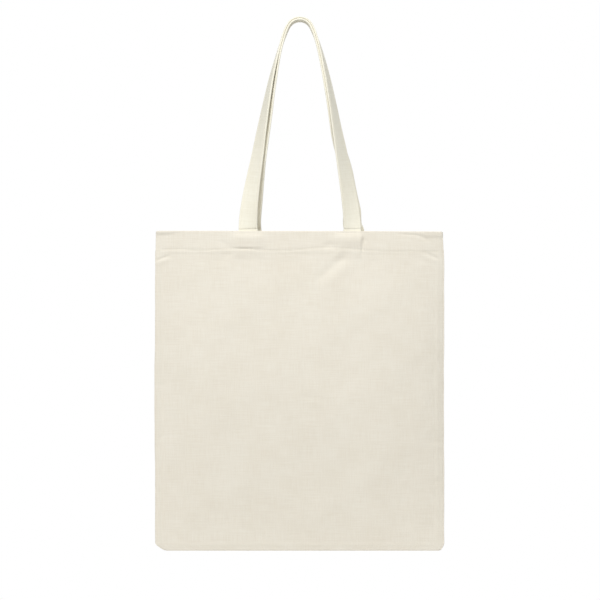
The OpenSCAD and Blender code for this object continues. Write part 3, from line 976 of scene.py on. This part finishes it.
def on_strap(at, across, height):
    """The place of strap points: across in millimetres, and height as a share of half the thickness."""
    down, half, side = at["down"][:, None], STRAP_W / 2, at["side"]
    pinch = STITCH_PINCH * hill(np.abs(across), half - STITCH_IN, 0.8) * np.minimum(1, np.abs(height))
    crease = hill(down, -CREASE_UP, CREASE_HALF) * np.where(height * at["outer"] > 0, CREASE_OUT, CREASE_IN)
    spread = SPREAD * smooth((down + CREASE_UP) / CREASE_HALF) * smooth((4.5 - down) / 3)
    up = height * (at["thick"][:, None] / 2 * (1 - crease) - pinch)
    wide = across * at["wide"][:, None] * (1 + spread / half)
    # a strap is never quite flat across, and in the hem it takes the panel's own curve
    cup = CUPPED * np.sin(at["length"][:, None] / 47) * ((across / half) ** 2 - 0.4) * smooth(-down / 30)
    home, depth = at["home"][:, None], np.maximum(down, 0)
    curve = outer_layer(home * (STRAP_X + across), depth, side) - outer_layer(home * STRAP_X, depth, side)
    points = at["middle"][:, None] + wide[..., None] * at["across"][:, None]
    points = points + (up + cup)[..., None] * at["face"][:, None]
    points[..., 1] += out_of(side) * curve * smooth(1 + down / 12)
    return points


def at_stops(side, length):
    """The stops of one strap at chosen lengths, with its side and which of its faces looks outwards."""
    return stops(straps[side], length) | {"side": side, "outer": -out_of(side)}


# rings lie closer together on the first and last stretch of a strap
END_STRETCH, RING_NEAR, RING_FAR = 62.0, 0.8, 1.8


def make_strap(name, side):
    """Rings close together on the sewn ends and wider apart above, and a strip of cells closes each end."""
    full = STRAP_LENGTH[side]
    first, last = spaced(0, END_STRETCH, RING_NEAR), spaced(full - END_STRETCH, full, RING_NEAR)
    length = np.concatenate([first, spaced(END_STRETCH, full - END_STRETCH, RING_FAR)[1:-1], last])
    across, height = strap_section()
    outline = len(across) * 2
    across_all, height_all = np.concatenate([across, across[::-1]]), np.concatenate([height, -height[::-1]])
    points = on_strap(at_stops(side, length), across_all[None, :], height_all[None, :])
    turned_edge = np.stack([across, height * STRAP_T / 2], axis=-1)
    width = np.concatenate([[0], np.cumsum(np.linalg.norm(np.diff(turned_edge, axis=0), axis=-1))])
    width = np.concatenate([width, width[::-1]])
    uv = np.stack(np.broadcast_arrays(width[None, :], length[:, None]), axis=-1)
    k = np.arange(outline // 2 - 1)
    cap = np.stack([k, k + 1, outline - 2 - k, outline - 1 - k], axis=-1)
    last_ring = (len(length) - 1) * outline
    faces = np.vstack([ring_faces(len(length), outline), cap, cap[:, ::-1] + last_ring])
    points = points.reshape(-1, 3)
    return make_object(name, points, turned_out(points, faces), strap_cloth, uv.reshape(-1, 2))


def bends_with(piece):
    """The piece's placing baked into its points; it rides on no body."""
    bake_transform(piece)


for side in ("front", "back"):
    strap = make_strap(f"{side}_handle_canvas", side)
    ends = [f"{side}_left_strap_end", f"{side}_right_strap_end"]
    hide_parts(f"{side}_handle_strap", *ends)
    bends_with(strap)

# %% [markdown]
# ## Stitches
# A lockstitch row is a line of short stitches end to end: each rises out of one needle hole, lies on the
# cloth for about two and a half millimetres and dives into the next hole. One stitch is a small capsule
# with few faces, and a row is that capsule placed hundreds of times as one array.

# %% One stitch, placed many times
PITCH, BETWEEN = 3.0, 0.45
THREAD_R = 0.27
SIDES = 6
# how deep a stitch is pressed into the cloth
SUNK = 0.05


def tube_faces(rings):
    """A tube of six-sided rings with both ends closed."""
    cap = np.array([[0, 1, 2, 3], [0, 3, 4, 5]])
    return np.vstack([ring_faces(rings, SIDES), cap, cap[:, ::-1] + SIDES * (rings - 1)])


def stitch_mesh(place, along, up, long=PITCH - BETWEEN, radius=THREAD_R):
    """Capsules: rings whose radius goes as the root of 1 - t² to both ends, which dive into the cloth."""
    along, up = unit(along), unit(up - (up * unit(along)).sum(-1, keepdims=True) * unit(along))
    t = np.array([-1, -0.72, 0, 0.72, 1])[:, None, None]
    turn = np.linspace(0, 2 * np.pi, SIDES, endpoint=False)[None, :, None]
    size = radius * np.sqrt(1.08 - t**2)
    ring = place[:, None, None] + long / 2 * t * along[:, None, None]
    ring = ring + (size * np.cos(turn) + radius * (0.45 - 1.1 * t**4)) * up[:, None, None]
    ring = ring + size * np.sin(turn) * np.cross(along, up)[:, None, None]
    one = turned_out(ring[0].reshape(-1, 3), tube_faces(len(t)))
    starts = SIDES * len(t) * np.arange(len(place))
    return ring.reshape(-1, 3), (one[None] + starts[:, None, None]).reshape(-1, 4)


def join_meshes(parts):
    """Several arrays of points and faces as one."""
    starts = np.cumsum([0] + [len(points) for points, _ in parts[:-1]])
    return np.vstack([p for p, _ in parts]), np.vstack([f + s for (_, f), s in zip(parts, starts)])


def panel_row(side, x, down, inside, looks_out):
    """Stitches on a panel at places x, down and inside, running the way the places run."""
    place = on_panel(x, down, inside, side)
    along = np.gradient(place, axis=0)
    up = np.zeros_like(place)
    up[:, 1] = out_of(side) * (1 if looks_out else -1)
    return stitch_mesh(place, along, up)


def both_faces(side, x, down, inner):
    """One row as it shows on the panel's outside, and on the inmost layer, which lies that far inside."""
    outside = panel_row(side, x, down, -CANVAS / 2 + SUNK, True)
    return [outside, panel_row(side, x, down, inner - SUNK, False)]


# %% [markdown]
# ## Rows along the hem and over the strap ends
# The hem's row goes through panel and hem all the way round the mouth, and over each strap end it goes
# through the strap as well. A short row near the top edge tacks each strap end to the hem, so the strap
# can't fold out.

# %% Hem rows and tack rows
def hem_row(side):
    """The row at the hem's lower edge, seen from outside and from inside, from fold to fold."""
    x = spaced(-EDGE_X + 1.5, EDGE_X - 1.5, PITCH)
    down = hem_row_down(x, side)
    over = (np.abs(x) > STRAP_IN) & (np.abs(x) < STRAP_OUT)
    hem_face = 2 * FOLD_R + tail_room(x, down) + CANVAS / 2
    inner = np.where(over, strap_inside(down) + sewn_thickness(down) / 2, hem_face)
    return both_faces(side, x, down, inner)


def tack_row(side, hand):
    """The short row across one strap end, on the panel's outside and on the strap's inner face."""
    x = hand * STRAP_X + spaced(-STRAP_W / 2 + STITCH_IN, STRAP_W / 2 - STITCH_IN, PITCH)
    down = np.full(len(x), TACK_DOWN)
    return both_faces(side, x, down, strap_inside(TACK_DOWN) + sewn_thickness(TACK_DOWN) / 2)


def make_thread(name, parts, nodes, body="bag"):
    """A piece of sewing thread that rides on a body, if one is given, and stands for those nodes."""
    made = make_object(name, *join_meshes(parts), thread_yarn)
    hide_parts(*nodes)
    if body:
        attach(made, body)
    return made


for side in ("front", "back"):
    make_thread(f"{side}_hem_stitches", hem_row(side), [f"{side}_hem_thread"])
    for hand, word in ((-1, "left"), (1, "right")):
        make_thread(f"{side}_{word}_tack_stitches", tack_row(side, hand), [f"{side}_{word}_tack"])

# %% [markdown]
# ## Rows along the handles
# Two rows run the whole length of a strap, and a lockstitch looks the same on both faces.

# %% Handle rows
ROWS_IN = 6.0


def handle_rows(side):
    """Both rows on both faces, from just inside the mouth to just inside it at the other end."""
    strap = straps[side]
    inside = strap["down"] < ROWS_IN
    first, last = strap["length"][inside][[0, -1]]
    length = spaced(first, last, PITCH)
    here, further = at_stops(side, length), at_stops(side, length + 0.5)
    parts = []
    for face in (-1.0, 1.0):
        for edge in (-1, 1):
            across = np.full((1, 1), edge * (STRAP_W / 2 - STITCH_IN))
            place, ahead = (on_strap(at, across, np.full((1, 1), face))[:, 0] for at in (here, further))
            parts.append(stitch_mesh(place, ahead - place, face * here["face"]))
    return parts


for side in ("front", "back"):
    nodes = [f"{side}_handle_edge_threads"]
    rows = make_thread(f"{side}_handle_stitches", handle_rows(side), nodes, body=None)
    bends_with(rows)

# %% [markdown]
# ## Seams and overlocked edges inside
# The two panels are sewn together just inside their folds, and the raw edges of both allowances are
# overlocked together: one yarn is wound round and round them so that they can't fray. Only someone looking
# into the bag sees them. The wound yarn is one long tube that follows a flat spiral.

# %% Seam rows and wound yarn
YARN_PITCH, YARN_R = 2.4, 0.24
TURN_POINTS = 12
WOUND_IN, WOUND_OUT = HALF_W - ALLOWANCE - 0.5, HALF_W - ALLOWANCE + 2.7
WOUND_HALF = TURN_R + CANVAS / 2 + 0.28
SEAM_IN = EDGE_X - 0.8


def seam_rows(start, end, place_at):
    """A row on each side of the two allowances, from start to end; place_at turns lengths to X and Z."""
    length = spaced(start, end, PITCH)
    parts = []
    for sign in (-1, 1):
        x, z = place_at(length)
        place = np.stack([x, 0 * length + sign * (TURN_R + CANVAS / 2 - SUNK), z], axis=-1)
        up = np.tile([0.0, sign, 0.0], (len(length), 1))
        parts.append(stitch_mesh(place, np.gradient(place, axis=0), up))
    return parts


def wound_yarn(start, end, place_at):
    """A tube round a flat spiral: in and out across the raw edges, front and back once each turn."""
    turns = (end - start) / YARN_PITCH
    t = np.linspace(0, turns, round(turns * TURN_POINTS) + 1)
    width = (WOUND_OUT + WOUND_IN) / 2 + (WOUND_OUT - WOUND_IN) / 2 * np.cos(2 * np.pi * t)
    x, z = place_at(start + YARN_PITCH * t, width)
    middle = np.stack([x, WOUND_HALF * np.sin(2 * np.pi * t), z], axis=-1)
    way = unit(np.gradient(middle, axis=0))
    aside = unit(np.cross(way, unit(middle[-1] - middle[0])))
    turn = np.linspace(0, 2 * np.pi, SIDES, endpoint=False)[None, :, None]
    ring = np.cos(turn) * aside[:, None] + np.sin(turn) * np.cross(aside, way)[:, None]
    points = (middle[:, None] + YARN_R * ring).reshape(-1, 3)
    return points, turned_out(points, tube_faces(len(middle)))


for hand, word in ((-1, "left"), (1, "right")):

    def down_side(length, width=SEAM_IN, hand=hand):
        """A place on a side seam, from the depth and the distance from the middle."""
        return sideways(hand * width + 0 * length, length, "front"), TOP - length

    rows, yarn = seam_rows(HEM_ZONE, SIDE_LOW, down_side), wound_yarn(HEM_ZONE, SIDE_LOW, down_side)
    make_thread(f"{word}_seam_stitches", rows, [f"{word}_side_seam_thread"])
    make_thread(f"{word}_overlock_yarn", [yarn], [f"{word}_overlock"])


def along_bottom(length, width=SEAM_IN):
    """A place on the bottom seam, from the distance along it and the distance from the fold."""
    return length, TOP - BODY_H + HALF_W - width + 0 * length


LEFT_END, RIGHT_END = -EDGE_X + 22, EDGE_X - 15
make_thread("bottom_seam_stitches", seam_rows(LEFT_END, RIGHT_END, along_bottom), ["bottom_seam_thread"])
make_thread("bottom_overlock_yarn", [wound_yarn(LEFT_END, RIGHT_END, along_bottom)], ["bottom_overlock"])

# %% [markdown]
# ## Sizes at the end
# The last cell notes the box of the frame and of the finished bag side by side.


# %% Sizes at the end
size = {"cad": [list(frame_low), list(frame_high)], "visual": [list(v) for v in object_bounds()]}
print("visual box", size["visual"])
